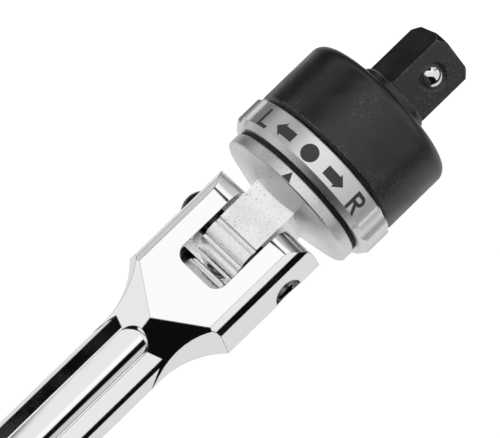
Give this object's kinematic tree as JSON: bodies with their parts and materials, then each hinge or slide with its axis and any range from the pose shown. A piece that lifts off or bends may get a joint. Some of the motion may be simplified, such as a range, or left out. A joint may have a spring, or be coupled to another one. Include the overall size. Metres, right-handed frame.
{
  "type": "flex-head ratchet wrench",
  "caption": "Flex-head ratchet wrench: chrome fluted handle with a forked end, hinged ratchet head with a selector ring and a square drive.",
  "frame": {"origin": "on the drive axis, where the drive square leaves its collar", "axes": "+X along the drive axis out of the square with the head straight, +Y along the flex pivot, +Z out of the handle's broad face"},
  "size_m": [0.43, 0.043, 0.0424],
  "materials": {
    "polished_chrome": "mirror-polished chrome plate",
    "satin_chrome": "matt chrome plate over a blasted forging",
    "ring_chrome": "satin chrome with filled dark marks",
    "black_phosphate": "black phosphated steel with light scuffs",
    "tool_steel": "ground and hardened steel, lightly oiled",
    "spring_steel": "drawn spring wire",
    "ball_steel": "polished bearing ball",
    "washer_bronze": "plain bronze washer",
    "seal_rubber": "black rubber"
  },
  "bodies": {
    "handle": {"handle": "polished_chrome", "pivot_screw": "black_phosphate", "flex_spring": "spring_steel"},
    "plunger": {"flex_plunger": "tool_steel"},
    "head": {"head_base": "satin_chrome", "ring_seal": "seal_rubber", "selector_spring": "spring_steel", "pawl_carrier": "tool_steel", "carrier_key": "tool_steel", "pawl_pins": "tool_steel", "pawl_spring_left": "spring_steel", "pawl_spring_right": "spring_steel", "carrier_cap": "tool_steel", "carrier_screw": "tool_steel", "thrust_washer": "washer_bronze", "lock_ring": "spring_steel", "dust_seal": "seal_rubber"},
    "selector": {"selector_ring": "ring_chrome", "shift_pins": "tool_steel"},
    "selector_detent": {"selector_ball": "ball_steel"},
    "left_pawl": {"pawl_left": "tool_steel"},
    "right_pawl": {"pawl_right": "tool_steel"},
    "drive": {"drive_anvil": "black_phosphate", "drive_spring": "spring_steel"},
    "socket_ball": {"drive_ball": "ball_steel"}
  },
  "joints": [
    {"name": "head_flex", "type": "hinge", "parent": "handle", "child": "head", "pos_m": [-0.051, 0, 0], "axis": [0, 1, 0], "range_deg": [-90, 90]},
    {"name": "plunger_slide", "type": "slide", "parent": "handle", "child": "plunger", "axis": [1, 0, 0], "range_m": [-0.0008, 0.0004], "deforming": ["flex_spring"]},
    {"name": "selector_turn", "type": "hinge", "parent": "head", "child": "selector", "pos_m": [-0.027, 0, 0], "axis": [1, 0, 0], "range_deg": [-22, 22]},
    {"name": "selector_ball_slide", "type": "slide", "parent": "head", "child": "selector_detent", "axis": [0, 0, -1], "range_m": [-0.0004, 0.0004], "deforming": ["selector_spring"]},
    {"name": "left_pawl_tilt", "type": "hinge", "parent": "head", "child": "left_pawl", "pos_m": [-0.015, 0.00393, 0.01081], "axis": [1, 0, 0], "range_deg": [-10, 10], "deforming": ["pawl_spring_left"]},
    {"name": "right_pawl_tilt", "type": "hinge", "parent": "head", "child": "right_pawl", "pos_m": [-0.015, -0.00393, 0.01081], "axis": [1, 0, 0], "range_deg": [-10, 10], "deforming": ["pawl_spring_right"]},
    {"name": "drive_spin", "type": "hinge", "parent": "head", "child": "drive", "pos_m": [0, 0, 0], "axis": [1, 0, 0], "continuous": true},
    {"name": "socket_ball_slide", "type": "slide", "parent": "drive", "child": "socket_ball", "axis": [0, -0.7071, 0.7071], "range_m": [-0.0015, 0], "deforming": ["drive_spring"]}
  ],
  "couplings": [
    {"joint": "left_pawl_tilt", "follows": "selector_turn", "ratio": 0.45455},
    {"joint": "right_pawl_tilt", "follows": "selector_turn", "ratio": 0.45455}
  ]
}
